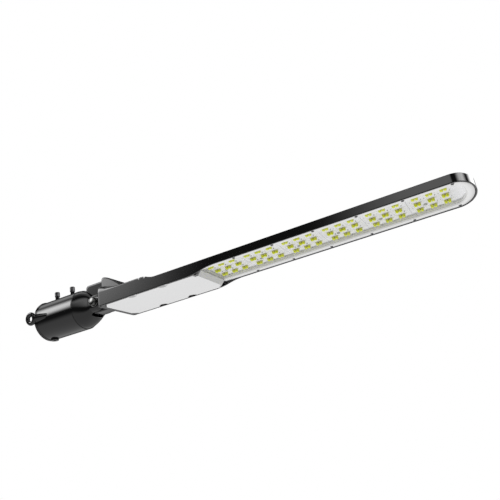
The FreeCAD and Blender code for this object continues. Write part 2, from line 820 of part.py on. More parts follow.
def make_driver():
    """Potted LED driver under the low roof, with an ear at each end."""
    half = driver_half_width
    box = slab(driver_start_x, driver_end_x, -half, half, low_roof_z - driver_height,
               low_roof_z)
    ear = slab(driver_start_x - driver_ear_length, driver_end_x + driver_ear_length, -half / 2,
               half / 2, low_roof_z - driver_ear_thickness, low_roof_z)
    return drilled(box.fuse(ear), driver_screw_places(),
                   low_roof_z - driver_ear_thickness - past, low_roof_z + past,
                   board_screw_diameter).removeSplitter()


def make_driver_screws():
    """Screws that hold the driver to the roof of the bay."""
    ear_z = low_roof_z - driver_ear_thickness
    return screws(driver_screw_places(), ear_z - board_screw_head_height, board_screw_head,
                  board_screw_head_height, board_screw_diameter,
                  low_roof_z + board_screw_grip)


def make_terminal_block():
    """Terminal block under the high roof, with a wire way for each pole."""
    x0 = rear_x + terminal_start
    half = terminal_width / 2
    block = slab(x0, x0 + terminal_length, -half, half, high_roof_z - terminal_height,
                 high_roof_z)
    ways = []
    for i in range(terminal_ways):
        y = (i - (terminal_ways - 1) / 2) * terminal_width / terminal_ways
        way_z = high_roof_z - terminal_height / 2
        ways.append(prism(Vector(x0 - past, y, way_z),
                          Vector(x0 + terminal_length + past, y, way_z),
                          terminal_way_diameter, small_sides))
    return block.cut(ways)


def make_surge_protector():
    """Surge protector beside the driver."""
    half = surge_width / 2
    return slab(surge_start_x, surge_start_x + surge_length, surge_y - half, surge_y + half,
                low_roof_z - surge_height, low_roof_z)


def make_cable_gland():
    """Rubber seal in the cable passage, with its collar at the bay's end."""
    end, along = passage_frame()[1:]
    shoulder = end - along * gland_collar_length
    start = shoulder - along * gland_length
    sleeve = prism(start, shoulder + along * past, passage_diameter, small_sides)
    collar = prism(shoulder, end, gland_collar_diameter, small_sides)
    hole = prism(start - along * past, end + along * past, cable_diameter, small_sides)
    return sleeve.fuse(collar).cut(hole).removeSplitter()


def make_breather_vent():
    """Membrane vent that lets the bay breathe, on its roof."""
    x = rear_x + vent_x
    face = top_z + roof_flat_rise
    stem = stud(x, vent_y, high_roof_z, face + past, vent_diameter)
    cap = prism(Vector(x, vent_y, face), Vector(x, vent_y, face + vent_cap_height),
                vent_cap_diameter, 2 * small_sides)
    return stem.fuse(cap).removeSplitter()


def make_board_screws():
    """Screws that press the boards against the web."""
    return screws(board_screw_places(), board_face_z - board_screw_head_height,
                  board_screw_head, board_screw_head_height, board_screw_diameter,
                  board_top_z + board_screw_grip)


parts = {
    "pole_spigot": make_spigot(),
    "set_bolts": make_set_bolts(),
    "hinge_bolt": make_hinge_bolt(),
    "hinge_washers": make_hinge_washers(),
    "hinge_nut": make_hinge_nut(),
    "housing": make_housing(),
    "lens_plate": make_lens_plate(),
    "lens_gasket": make_lens_gasket(),
    "lens_screws": make_lens_screws(),
    "board_screws": make_board_screws(),
    "driver_cover": make_driver_cover(),
    "cover_gasket": make_cover_gasket(),
    "cover_screws": make_cover_screws(),
    "led_driver": make_driver(),
    "driver_screws": make_driver_screws(),
    "terminal_block": make_terminal_block(),
    "surge_protector": make_surge_protector(),
    "cable_gland": make_cable_gland(),
    "breather_vent": make_breather_vent(),
}
for number, place in enumerate(led_stations, 1):
    parts[f"led_board_{number}"] = make_board(place)
    parts[f"led_chips_{number}"] = make_chips(place)

os.makedirs("parts", exist_ok=True)
for node, shape in parts.items():
    shape.exportStep(f"parts/{node}.step")
    print(node, len(shape.Solids), shape.isValid(), round(shape.Volume, 1))
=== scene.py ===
import bmesh
import bpy
import numpy as np
from mathutils import Matrix, Vector


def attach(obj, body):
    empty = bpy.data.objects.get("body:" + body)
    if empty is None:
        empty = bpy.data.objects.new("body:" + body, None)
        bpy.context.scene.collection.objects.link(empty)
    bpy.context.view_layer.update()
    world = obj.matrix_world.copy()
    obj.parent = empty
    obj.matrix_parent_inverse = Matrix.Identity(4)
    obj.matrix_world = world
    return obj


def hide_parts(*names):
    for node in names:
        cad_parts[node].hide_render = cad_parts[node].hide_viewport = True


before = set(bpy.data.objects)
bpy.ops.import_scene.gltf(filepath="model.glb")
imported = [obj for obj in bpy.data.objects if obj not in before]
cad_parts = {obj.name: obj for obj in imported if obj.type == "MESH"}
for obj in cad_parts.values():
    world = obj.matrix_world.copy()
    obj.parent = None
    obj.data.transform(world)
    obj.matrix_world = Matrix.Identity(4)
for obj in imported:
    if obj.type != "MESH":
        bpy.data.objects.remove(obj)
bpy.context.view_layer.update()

# Pole spigot: one aluminium casting that slips over the end of the pole. It is
# a round tube with a bead at its mouth, a rounded nose that runs into the two
# cheeks of the fork, a safety-line eye and a drain boss, all in gloss black.
MM = 0.001
BORE = 31.0
TUBE = 37.5
NOSE_START = 93.0
HINGE_X = 137.0
FORK_ROUND = 17.5
CHEEK_FACE = 23.0
SLOT_HALF = 14.4
EYE_LEAN = 0.14


class Shade:
    """A shader value. Sums, differences and products with it add Math nodes."""

    def __init__(self, finish, socket):
        self.finish = finish
        self.socket = socket

    def worked(self, operation, first, second):
        """A Math node that works on two shades or numbers."""
        return self.finish.node("ShaderNodeMath", {"operation": operation}, {0: first, 1: second})

    def __add__(self, other):
        return self.worked("ADD", self, other)

    def __sub__(self, other):
        return self.worked("SUBTRACT", self, other)

    def __rsub__(self, other):
        return self.worked("SUBTRACT", other, self)

    def __mul__(self, other):
        return self.worked("MULTIPLY", self, other)

    __radd__ = __add__
    __rmul__ = __mul__


class Finish:
    """A finish: one material, with its Principled shader and the nodes that feed it."""

    def __init__(self, name, **settings):
        self.material = bpy.data.materials.new(name)
        self.material.use_nodes = True
        self.tree = self.material.node_tree
        self.shader = self.tree.nodes["Principled BSDF"]
        for socket, value in settings.items():
            self.shader.inputs[socket.replace("_", " ")].default_value = value
        self.place = self.node("ShaderNodeTexCoord", {}, {}, "Object")

    def node(self, kind, settings, sockets, output=0):
        """A new node: its settings, then its sockets' values or links. Gives one output."""
        made = self.tree.nodes.new(kind)
        for setting, value in settings.items():
            setattr(made, setting, value)
        for socket, value in sockets.items():
            if isinstance(value, Shade):
                self.tree.links.new(value.socket, made.inputs[socket])
            else:
                made.inputs[socket].default_value = value
        return Shade(self, made.outputs[output])

    def noise(self, scale, detail=2.0):
        """Cloudy noise over the piece's own coordinates, scale in waves per metre."""
        return self.node("ShaderNodeTexNoise", {}, {"Vector": self.place, "Scale": scale,
                                                    "Detail": detail}, "Fac")

    def blend(self, factor, first, second):
        """Colour between two colours."""
        return self.node("ShaderNodeMix", {"data_type": "RGBA"},
                         {0: factor, 6: first, 7: second}, 2)

    def feed(self, socket, value):
        """Links a shade to one of the shader's sockets."""
        self.tree.links.new(value.socket, self.shader.inputs[socket])

    def relief(self, height, depth, strength=1.0):
        """Bump of the surface by a height from 0 to 1, depth in metres."""
        self.feed("Normal", self.node("ShaderNodeBump", {}, {"Height": height, "Distance": depth,
                                                             "Strength": strength}))


def gloss_black():
    """Gloss black powder coat: nearly black, with a faint orange peel and slow changes of gloss."""
    paint = Finish("gloss_black_coat", Base_Color=(0.007, 0.007, 0.0075, 1), IOR=1.5)
    peel = paint.noise(900.0)
    drift = paint.noise(28.0)
    paint.feed("Roughness", drift * 0.05 + 0.055)
    paint.feed("Base Color", paint.blend(drift, (0.006, 0.006, 0.0065, 1),
                                         (0.009, 0.009, 0.0095, 1)))
    paint.relief(peel, 0.00004, 0.25)
    return paint.material


def grid_faces(rows, columns, round_rows, round_columns):
    """Corner numbers of each four-sided cell of a grid, wrapped where the grid is round."""
    i = np.arange(rows if round_rows else rows - 1)
    j = np.arange(columns if round_columns else columns - 1)
    i, j = (a.ravel() for a in np.meshgrid(i, j, indexing="ij"))
    k = (i + 1) % rows
    m = (j + 1) % columns
    return np.stack([i * columns + j, i * columns + m, k * columns + m, k * columns + j], 1)


def shell(name, grids, sharp_degrees=35.0):
    """A piece from one or more grids of points in millimetres.

    Each grid is (points of shape rows x columns x 3, round_rows, round_columns). The grids'
    common points are merged, and the faces are turned outwards.
    """
    points, faces, count = [], [], 0
    for grid, round_rows, round_columns in grids:
        rows, columns = grid.shape[:2]
        points.append(grid.reshape(-1, 3))
        faces.append(grid_faces(rows, columns, round_rows, round_columns) + count)
        count += rows * columns
    mesh = bpy.data.meshes.new(name)
    mesh.from_pydata((np.concatenate(points) * MM).tolist(), [], np.concatenate(faces).tolist())
    tidy_shell(mesh, sharp_degrees)
    piece = bpy.data.objects.new(name, mesh)
    bpy.context.scene.collection.objects.link(piece)
    return piece


def tidy_shell(mesh, sharp_degrees):
    """Merges common points, turns the faces outwards and smooths all but the sharp edges."""
    made = bmesh.new()
    made.from_mesh(mesh)
    bmesh.ops.remove_doubles(made, verts=made.verts, dist=0.000002)
    bmesh.ops.dissolve_degenerate(made, edges=made.edges, dist=0.000002)
    bmesh.ops.recalc_face_normals(made, faces=made.faces)
    made.to_mesh(mesh)
    made.free()
    mesh.shade_smooth()
    mesh.set_sharp_from_angle(angle=np.radians(sharp_degrees))


def turned(profile, axis, centre, sides):
    """Grid of a turned form: each (radius, height) of the profile goes round the axis.

    Point = centre + height * axis + radius * (cos t * first + sin t * second), where t goes
    once round in equal steps and first and second are square to the axis.
    """
    first, second = {"X": ((0, 1, 0), (0, 0, 1)), "Y": ((0, 0, 1), (1, 0, 0)),
                     "Z": ((1, 0, 0), (0, 1, 0))}[axis]
    along = np.cross(first, second)
    radius, height = np.array(profile, float).T
    t = np.linspace(0, 2 * np.pi, sides, endpoint=False)
    ring = np.cos(t)[:, None] * np.array(first) + np.sin(t)[:, None] * np.array(second)
    return (np.array(centre, float) + height[:, None, None] * along
            + radius[:, None, None] * ring[None])


def dressed(piece, body, slot, material, *nodes):
    """Gives a new piece its body, its material and the nodes it stands for. The slot is not used.
    """
    piece.data.materials.clear()
    piece.data.materials.append(material)
    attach(piece, body)
    if nodes:
        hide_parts(*nodes)
    return piece


def spigot_tube():
    """Tube turned about X: bead at the mouth, wall, and the small step at the nose's seam.

    The bead tapers by ten degrees away from the mouth.
    """
    bead = [(BORE, 1.0), (31.6, 0.0), (38.3, 0.0), (38.8, 0.35), (38.9, 0.8), (38.8, 1.4),
            (38.3, 4.3), (38.2, 4.8)]
    wall = [(TUBE, x) for x in (5.3, 6.0, 50.0, 91.9, 92.3)]
    step = [(37.2, 92.9), (36.2, 93.3), (BORE, 93.3)]
    return turned([(BORE, 92.0)] + bead + wall + step, "X", (0, 0, 0), 128)


def fork_sizes(x):
    """Half width w, top t, bottom b and power n of the nose and cheeks at each x.

    The section is |y / w|^n + |z / t or b|^n = 1. With s the share of the way gone, the width
    falls by (1 - s)^1.15, top and bottom by 1 - s^p, and the power grows by s^2. Past the
    hinge, top and bottom close in a round.
    """
    level = np.clip((x - NOSE_START) / 29.0, 0, 1)
    gone = np.clip((x - 98.0) / 27.0, 0, 1)
    under = np.clip((x - NOSE_START) / 32.0, 0, 1)
    end = np.sqrt(1 - (np.clip(x - HINGE_X, 0, FORK_ROUND) / FORK_ROUND) ** 2)
    return (CHEEK_FACE + 13.7 * (1 - level) ** 1.15,
            (FORK_ROUND + 19.2 * (1 - gone ** 1.8)) * end,
            (FORK_ROUND + 19.0 * (1 - under ** 1.75)) * end, 2.0 + 1.2 * level * level)


def nose_web(sides=96):
    """Closed disc of the nose between the bore and the slot, with the cable passage through it."""
    hole, rise = 6.0, 18.0
    x = np.array([NOSE_START, NOSE_START, 95.0, 97.0, 99.0, 99.0])
    w, t, b, n = (v[:, None] for v in fork_sizes(x))
    a = np.linspace(0, 2 * np.pi, sides, endpoint=False)
    c, d = np.cos(a)[None], np.sin(a)[None]
    y = w * np.sign(c) * np.abs(c) ** (2 / n)
    z = np.where(d > 0, t, b) * np.sign(d) * np.abs(d) ** (2 / n)
    y[[0, -1]], z[[0, -1]] = hole * c, rise + hole * d
    return np.stack([np.broadcast_to(x[:, None], y.shape), y, z], -1)


def cheek(side, stations=60, steps=48):
    """One cheek of the fork: the part of the nose's section that lies past the slot's wall."""
    turn = np.linspace(0.04, 0.499 * np.pi, stations // 2)
    x = np.concatenate([np.linspace(99.0, HINGE_X, stations), HINGE_X + FORK_ROUND * np.sin(turn)])
    w, t, b, n = (v[:, None] for v in fork_sizes(x))
    a = np.arccos((SLOT_HALF / w) ** (n / 2)) * np.linspace(1, -1, steps)[None]
    y = side * w * np.cos(a) ** (2 / n)
    z = np.where(a > 0, t, b) * np.sign(a) * np.abs(np.sin(a)) ** (2 / n)
    return capped(np.stack([np.broadcast_to(x[:, None], y.shape), y, z], -1))


def capped(grid):
    """The grid with its first and last row closed to their own middles."""
    first, last = (np.broadcast_to(grid[i].mean(0), grid[i].shape)[None] for i in (0, -1))
    return np.concatenate([first, grid, last])


def slot_floor(steps=24):
    """Floor of the slot under the tongue: nose outside, and inside a round the heel swings in.

    Inside, z = -2.3 - sqrt(17.7^2 - (x - 127.5)^2), and -2.3 where the round has ended. Past
    x 118 it falls to a thin edge.
    """
    heel_x, heel_round = 127.5, 17.7
    x = np.linspace(98.5, 121.2, 34)
    w, _, b, n = (v[:, None] for v in fork_sizes(x))
    y = np.linspace(-SLOT_HALF - 0.2, SLOT_HALF + 0.2, steps)
    low = -b * (1 - (np.abs(y)[None] / w) ** n) ** (1 / n)
    high = -2.3 - np.sqrt(np.clip(heel_round ** 2 - (x - heel_x) ** 2, 0, None))
    high = high - 2.9 * np.clip((x - 118.0) / 3.2, 0, 1)
    high = np.maximum(high[:, None], low + 0.3)
    z = np.concatenate([low, high[:, ::-1]], 1)
    y = np.broadcast_to(np.concatenate([y, y[::-1]]), z.shape)
    return capped(np.stack([np.broadcast_to(x[:, None], z.shape), y, z], -1))


def eye_ring():
    """Safety-line eye: an oval section, 8.4 by 7.4, turned about Y at radius 8.4 and leant down.

    The lean is y = y - 0.14 z.
    """
    a = np.linspace(0, 2 * np.pi, 24, endpoint=False)
    grid = turned(np.stack([8.4 + 4.2 * np.cos(a), 3.7 * np.sin(a)], 1), "Y", (-2.0, -43.5, 0), 48)
    return grid - grid[..., 2:] * np.array([0, EYE_LEAN, 0])


def eye_fairing(stations=20, sides=24):
    """Fairing from the eye back along the tube: half height and reach fall steadily along X."""
    x = np.linspace(4.0, 35.0, stations)
    gone = (x - 4.0) / 31.0
    half = 8.5 - 4.5 * gone
    reach = 47.0 - 10.5 * gone ** 1.2
    a = np.linspace(-np.pi / 2, np.pi / 2, sides)
    z = half[:, None] * np.sin(a)[None]
    y = -(33.0 + (reach[:, None] - 33.0) * np.abs(np.cos(a)[None]) ** 0.35) - EYE_LEAN * z
    return capped(np.stack([np.broadcast_to(x[:, None], z.shape), y, z], -1))


def drain_boss():
    """Boss under the mouth with its drain hole, turned about Z at x 13."""
    profile = [(2.5, 36.0), (2.5, 40.4), (2.8, 40.7), (6.9, 40.7), (7.4, 40.2), (7.5, 39.6),
               (7.5, 36.0)]
    grid = turned(profile, "Z", (13.0, 0, 0), 40)
    return grid * np.array([1, 1, -1])


black_coat = gloss_black()
spigot = shell("pole_spigot_casting", [(spigot_tube(), True, True), (drain_boss(), True, True),
                                       (nose_web(), True, True), (cheek(-1), False, True),
                                       (cheek(1), False, True), (slot_floor(), False, True),
                                       (eye_ring(), True, True), (eye_fairing(), False, True)])
dressed(spigot, "spigot", "black_paint", black_coat, "pole_spigot")

# Set bolts: two socket-head clamp bolts, blackened steel, screwed through the
# top of the tube onto the pole.
def blackened_steel(name, colour):
    """Darkened steel: dull metal with fine turning marks."""
    steel = Finish(name, Base_Color=colour, Metallic=0.6)
    steel.feed("Roughness", steel.noise(400.0) * 0.15 + 0.22)
    steel.relief(steel.noise(2500.0), 0.00002, 0.4)
    return steel.material


crest, root, pitch = 4.0, 3.45, 1.25
turns = np.arange(BORE, 43.6, pitch / 2)
thread = [(crest if i % 2 else root, z) for i, z in enumerate(turns)]
stem = [(0, BORE)] + thread + [(crest, 44.2), (crest, 45.0)]
head = [(4.3, 45.0), (4.8, 45.5), (4.8, 53.6), (4.5, 54.4), (4.2, 54.6)]
socket = [(2.7, 54.6), (2.6, 54.3), (2.6, 50.6), (0, 49.6)]
bolt_grids = [(turned(stem + head + socket, "Z", (bolt_x, 0, 0), 36), False, True)
              for bolt_x in (23.0, 63.0)]
set_bolts = shell("clamp_bolts", bolt_grids)
blackened = blackened_steel("blackened_steel", (0.03, 0.03, 0.032, 1))
dressed(set_bolts, "spigot", "dark_steel", blackened, "set_bolts")

# Hinge bolt with its washers and nut: stainless steel, through both cheeks and
# the tongue. The hexagon head is on the near side.
WASHER = 2.0


def stainless():
    """Stainless steel: grey metal with a fine brushed grain."""
    steel = Finish("stainless_steel", Base_Color=(0.13, 0.13, 0.128, 1), Metallic=1.0)
    grain = steel.node("ShaderNodeMapping", {}, {"Vector": steel.place, "Scale": (1, 12, 1)})
    brushed = steel.node("ShaderNodeTexNoise", {}, {"Vector": grain, "Scale": 420.0}, "Fac")
    steel.feed("Roughness", brushed * 0.12 + 0.16)
    steel.relief(brushed, 0.00002, 0.3)
    return steel.material


def hexagon(across_flats, heights, chamfer, centre, sides=60):
    """Grid of a hexagon bar along Y with turned chamfers at both ends.

    Radius = the smaller of the hexagon's own radius at the angle, flats / 2 / cos(angle from
    the nearest flat's middle), and a cone that takes the corners off at each end.
    """
    t = np.linspace(0, 2 * np.pi, sides, endpoint=False)
    from_flat = (t + np.pi / 6) % (np.pi / 3) - np.pi / 6
    flat_radius = across_flats / 2 / np.cos(from_flat)
    corner_radius = across_flats / 2 / np.cos(np.pi / 6)
    y0, y1 = heights
    y = np.concatenate([[y0], np.linspace(y0, y0 + chamfer, 4),
                        np.linspace(y1 - chamfer, y1, 4), [y1]])
    edge = np.minimum(y - y0, y1 - y)
    cone = corner_radius - 1.6 * np.maximum(chamfer - edge, 0)
    radius = np.minimum(flat_radius[None], cone[:, None])
    radius[[0, -1]] = 0
    return np.stack([centre[0] + radius * np.sin(t)[None],
                     np.broadcast_to(y[:, None], radius.shape),
                     centre[1] + radius * np.cos(t)[None]], -1)


silver = stainless()
seat = CHEEK_FACE + WASHER
head_grid = hexagon(14.0, (-seat - 5.4, -seat), 1.2, (HINGE_X, 0))
shank = turned([(0, -seat), (5.0, -seat), (5.0, 35.2), (4.2, 36.0), (0, 36.0)], "Y",
               (HINGE_X, 0, 0), 48)
hinge_bolt = shell("hinge_bolt_steel", [(head_grid, False, True), (shank, False, True)])
dressed(hinge_bolt, "spigot", "steel", silver, "hinge_bolt")
washer_grids = []
for y in (-seat, CHEEK_FACE):
    ring = [(5.3, y), (8.6, y), (9.0, y + 0.4), (9.0, y + WASHER - 0.4), (8.6, y + WASHER),
            (5.3, y + WASHER)]
    washer_grids.append((turned(ring, "Y", (HINGE_X, 0, 0), 48), True, True))
washers = shell("hinge_washer_pair", washer_grids)
dressed(washers, "spigot", "steel", silver, "hinge_washers")
nut = shell("hinge_lock_nut", [(hexagon(16.0, (seat, seat + 8.0), 1.0, (HINGE_X, 0)), False, True)])
dressed(nut, "spigot", "steel", silver, "hinge_nut")

# Housing: the long die casting that carries everything. It has the tongue of
# the tilting joint, the rounded knuckle, the driver bay with its low roof, and
# the thin heat-spreading head with fins along its top.
HALF_WIDTH = 50.7
REAR_X = 167.0
TIP_MIDDLE = 781.0
TIP_REACH = 29.0
TOP = -1.8
BAY_RIM = -22.4
RIM_STEP = (352.0, 411.0)
GROOVES = (261.0, 273.0)
FIN_PITCH = 8.4


def soft_step(x, x0, x1):
    """0 before x0, 1 after x1, and two equal parabolas between them."""
    t = np.clip((x - x0) / (x1 - x0), 0, 1)
    return np.where(t < 0.5, 2 * t * t, 1 - 2 * (1 - t) ** 2)


def rim_level(x):
    """Lower edge of the casting: deep along the driver bay, shallow along the lamps."""
    return BAY_RIM + 7.1 * soft_step(x, *RIM_STEP)


def roof_level(x):
    """Crest of the casting: high over the cable entry, lower over the driver, flat past it."""
    return TOP + 16.2 - 9.6 * soft_step(x, 169.0, 223.0) - 6.6 * soft_step(x, 263.0, 294.0)


def casting_path():
    """Closed plan of the casting: rear edge, rounded rear corners, sides and elliptical tip.

    Gives the points and, at each, the direction square to the edge that points inwards.
    """
    radius = 5.0
    groove = [x + d for x in GROOVES for d in (-1.9, -1.5, 1.5, 1.9)]
    step_start, step_end = RIM_STEP
    side = np.unique(np.concatenate([np.linspace(REAR_X + radius, 300, 56), groove,
                                     np.linspace(300, step_start, 6),
                                     np.linspace(step_start, step_end, 24),
                                     np.linspace(step_end, TIP_MIDDLE, 24)]))
    a = np.linspace(np.pi / 2, -np.pi / 2, 72)[1:-1]
    corner = np.linspace(0, np.pi / 2, 9)[1:-1]
    far = np.stack([side, np.full(len(side), HALF_WIDTH)], 1)
    far_in = np.broadcast_to([[0.0, -1.0]], far.shape)
    tip = np.stack([TIP_MIDDLE + TIP_REACH * np.cos(a), HALF_WIDTH * np.sin(a)], 1)
    tip_in = -np.stack([np.cos(a) / TIP_REACH, np.sin(a) / HALF_WIDTH], 1)
    tip_in /= np.linalg.norm(tip_in, axis=1)[:, None]
    near_corner = np.stack([REAR_X + radius - radius * np.sin(corner),
                            -HALF_WIDTH + radius - radius * np.cos(corner)], 1)
    near_in = np.stack([np.sin(corner), np.cos(corner)], 1)
    y = np.linspace(-HALF_WIDTH + radius, HALF_WIDTH - radius, 25)
    rear = np.stack([np.full(25, REAR_X), y], 1)
    rear_in = np.broadcast_to([[1.0, 0.0]], rear.shape)
    flip = np.array([1, -1])
    points = np.concatenate([far, tip, far[::-1] * flip, near_corner, rear,
                             near_corner[::-1] * flip])
    inwards = np.concatenate([far_in, tip_in, -far_in, near_in, rear_in, near_in[::-1] * flip])
    return points, inwards


def casting_grid():
    """Skin of the casting: at each point of the plan, a section from the inside to the crest.

    The section goes along the ceiling, down the inner wall, round the rim, up the outer wall,
    over the shoulder, a quarter of an ellipse, and along the crest to the middle. A lid on the
    height makes the two small grooves across the crest.
    """
    points, inwards = casting_path()
    x = points[:, 0]
    crest = roof_level(x)
    rim = rim_level(x)
    wall = np.where(x < REAR_X + 0.01, 7.6, 2.6)
    radius = np.clip(crest - 2.6, 0.9, 11.8)
    reach = np.minimum(radius, 4.8 + 7.0 * soft_step(x, 172.0, 200.0))
    groove = np.abs(x[:, None] - GROOVES).min(1) < 1.7
    lid = np.where(groove, 0.3, np.inf)
    a = np.linspace(0, np.pi / 2, 9)[:, None]
    rows = [(reach + 2.6, crest - 4.0), (wall, np.minimum(crest - 4.0, 0)), (wall, rim + 0.3),
            (wall - 0.3, rim), (0.9, rim), (0.35, rim), (0.1, rim + 0.12), (0, rim + 0.4),
            (0, rim + 1.2)]
    rows += [(0, np.minimum(crest - radius - d, lid)) for d in (0.9, 0.05)]
    rows += [(reach * (1 - np.cos(t)), np.minimum(crest - radius + radius * np.sin(t), lid))
             for t in a]
    section = np.array([np.column_stack([points + inwards * (d * np.ones_like(x))[:, None], z])
                        for d, z in rows])
    middle = np.clip(x, 190.0, 786.0)
    ceiling, ridge = (np.column_stack([middle, 0 * x, z])
                      for z in (roof_level(middle) - 4.0, np.minimum(roof_level(middle), lid)))
    return np.concatenate([ceiling[None], section, ridge[None]])


def corner_post(side):
    """Post of the casting that fills one rear corner beside the cover, down to the rim."""
    outline = np.array([[174.5, 35.7 * side], [174.5, 48.2 * side], [184.5, 48.2 * side]])
    low, high = (np.column_stack([outline, [z] * 3]) for z in (BAY_RIM, -8.0))
    return capped(np.array([low, high]))


def bend(start, towards, end, steps):
    """Quadratic curve: start * (1 - u)^2 + towards * 2 u (1 - u) + end * u^2."""
    u = np.linspace(0, 1, steps)[:, None]
    return (np.array(start) * (1 - u) ** 2 + 2 * np.array(towards) * u * (1 - u)
            + np.array(end) * u ** 2)


def knuckle_grid():
    """Rounded knuckle over the cable entry: a profile in XZ with a round of 4.5 at each side.

    The profile goes up the rear at x 160, over a rounded corner and down to the roof of the
    bay. It shrinks towards the middle (178, 14), and the sides lean in by 0.04 mm a millimetre.
    """
    foot = np.array([(160, 20), (160, -2), (174, -4), (196, 7), (205, 4.5)], float)
    profile = np.concatenate([bend((219, 2.6), (181, 36.8), (165, 39.3), 48),
                              bend((164.8, 39.33), (160, 40.0), (160, 34.5), 9), foot])
    a = np.linspace(np.pi / 2, 0, 14)
    half = np.concatenate([[29.5, 29.5, 29.5], 25.0 + 4.5 * np.sin(a), [24.0, 8.0]])
    share = np.concatenate([[0.4, 0.7, 0.83], 1 - 4.5 * (1 - np.cos(a)) / 30.0, [1.0, 1.0]])
    y = np.concatenate([-half, half[::-1]])
    share = np.concatenate([share, share[::-1]])
    middle = np.array([178.0, 14.0])
    drawn = middle + (profile - middle)[:, None] * share[None, :, None]
    x, z = drawn[..., 0], drawn[..., 1]
    grid = np.stack([x, y - np.sign(y) * 0.04 * (z - 20.0), z], -1)
    ends = [grid[:, i:i + 1].mean(0, keepdims=True) + 0 * grid[:, i:i + 1] for i in (0, -1)]
    return np.concatenate([ends[0], grid, ends[1]], 1)


def tongue_grid():
    """Tongue of the tilting joint: an outline in XZ, rounded by 3 towards both sides.

    The sides draw in by casting draft, 0.05 mm a millimetre, from the top down. Each side has
    two more rows on its flat face, so that the round keeps its shading to itself.
    """
    corner = np.linspace(0, np.pi / 2, 10)
    heel = np.stack([127.5 - 16 * np.sin(corner), -1.5 - 16 * np.cos(corner)], 1)
    rear = np.array([(110.2, 5.0), (109.2, 12.0), (109.0, 24.0)])
    brow = np.stack([115.0 - 6 * np.cos(corner), 34.0 + 6 * np.sin(corner)], 1)
    top = np.array([(130, 40), (145, 40), (155, 40), (163, 40), (170, 34), (172, 20)], float)
    low = np.array([(172, -17.5), (160, -17.5), (145, -17.5), (135, -17.5)])
    outline = np.concatenate([heel, rear, brow, top, low])
    middle = np.array([146.0, 10.0])

    def row(side, scale, turn):
        """The outline at a scale, on one side's face less the round at this turn."""
        drawn = middle + (outline - middle) * scale
        half = 14.0 - 0.05 * np.clip(40.0 - drawn[:, 1], 0, 40) - 3.0 * (1 - np.cos(turn))
        return np.column_stack([drawn[:, 0], side * half, drawn[:, 1]])

    turns = np.linspace(0, np.pi / 2, 6)
    face = 1 - 3.0 / 29.0
    steps = [(0.485 * face, 0), (0.97 * face, 0)]
    steps += [(1 - 3.0 * (1 - np.sin(turn)) / 29.0, turn) for turn in turns]
    rows = [row(-1, *step) for step in steps] + [row(1, *step) for step in steps[::-1]]
    return capped(np.array(rows))


def fin_grid(y):
    """One cooling fin: a tapered bar with a rounded crest and sloping ends."""
    x = np.array([305.5, 306.0, 309.0, 311.0, 766.0, 768.0, 771.0, 771.5])
    height = np.array([0.0, 0.3, 2.9, 3.6, 3.6, 2.9, 0.3, 0.0])
    across = np.array([-1.3, -1.1, -0.8, 0, 0.8, 1.1, 1.3])
    share = np.array([-0.6, 0.8, 0.96, 1.0, 0.96, 0.8, -0.6])
    z = np.where(share > 0, share * height[:, None], share)
    return capped(np.stack([np.broadcast_to(x[:, None], z.shape),
                            np.broadcast_to(y + across, z.shape), TOP + z], -1))


housing_grids = [(casting_grid(), False, True), (knuckle_grid(), True, False),
                 (tongue_grid(), False, True), (corner_post(-1), False, True),
                 (corner_post(1), False, True)]
housing_grids += [(fin_grid(FIN_PITCH * i), False, True) for i in range(-4, 5)]
housing = shell("housing_casting", housing_grids, 40.0)
dressed(housing, "head", "black_paint", black_coat, "housing")

# Circuit boards: aluminium boards with a white solder mask, one under each
# group of nine lamps, set so close that the whole field is white. They keep
# their CAD form.
def solder_mask():
    """White solder mask: satin white with a very slight unevenness."""
    mask = Finish("white_solder_mask", Base_Color=(0.8, 0.8, 0.8, 1), Roughness=0.45)
    clouds = mask.noise(40.0)
    mask.feed("Base Color", mask.blend(clouds, (0.85, 0.85, 0.865, 1), (0.89, 0.89, 0.9, 1)))
    return mask.material


white_board = solder_mask()
for number in range(1, 7):
    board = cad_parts[f"led_board_{number}"]
    board.data.materials.clear()
    board.data.materials.append(white_board)

# Lamps: pairs of square emitters with a yellow phosphor that stands up in a
# small cushion, nine pairs on each board.
PITCH = 20.0
GROUP_PITCH = 67.8
ROW_PITCH = 24.15
FIRST_LAMP = 389.0
BOARD_FACE = -7.4
LAMP_FACE = -12.1
EMITTER_STEP = 2.55


def phosphor():
    """Yellow phosphor gel: greenish yellow, with painted shade towards the foot and a brown painted
    shade between the two.
    """
    gel = Finish("yellow_phosphor", Roughness=0.35)
    height = gel.node("ShaderNodeSeparateXYZ", {}, {0: gel.place}, "Z")
    # Painted shade: the gel turns darker towards its foot at the board.
    foot = gel.node("ShaderNodeMapRange", {}, {0: height, 1: -0.0094, 2: -0.0076, 3: 0.0, 4: 1.0})
    clouds = gel.noise(300.0)
    # Painted shade: brown in the gap between the two emitters, read from the lamps' "between" mark.
    between = gel.node("ShaderNodeAttribute", {"attribute_name": "between"}, {}, "Fac")
    rich = gel.blend(clouds, (0.77, 0.83, 0.0, 1), (0.87, 0.93, 0.0, 1))
    foot_painted_shade = gel.blend(foot, rich, (0.5, 0.46, 0.004, 1))
    gel.feed("Base Color", gel.blend(between, foot_painted_shade, (0.13, 0.05, 0.0, 1)))
    return gel.material


def cushion(half_x, half_y, foot, crown, rows=8, sides=24):
    """Rounded square cushion: its plan is a superellipse of power 5, its side a quarter round."""
    rise = np.linspace(0, np.pi / 2, rows)
    t = np.linspace(0, 2 * np.pi, sides, endpoint=False)
    square = (np.abs(np.cos(t)) ** 5 + np.abs(np.sin(t)) ** 5) ** -0.2
    radius = np.cos(rise) ** 0.45
    height = foot + (crown - foot) * np.sin(rise) ** 0.8
    return np.stack([half_x * radius[:, None] * (square * np.cos(t))[None],
                     half_y * radius[:, None] * (square * np.sin(t))[None],
                     np.broadcast_to(height[:, None], (rows, sides))], -1)


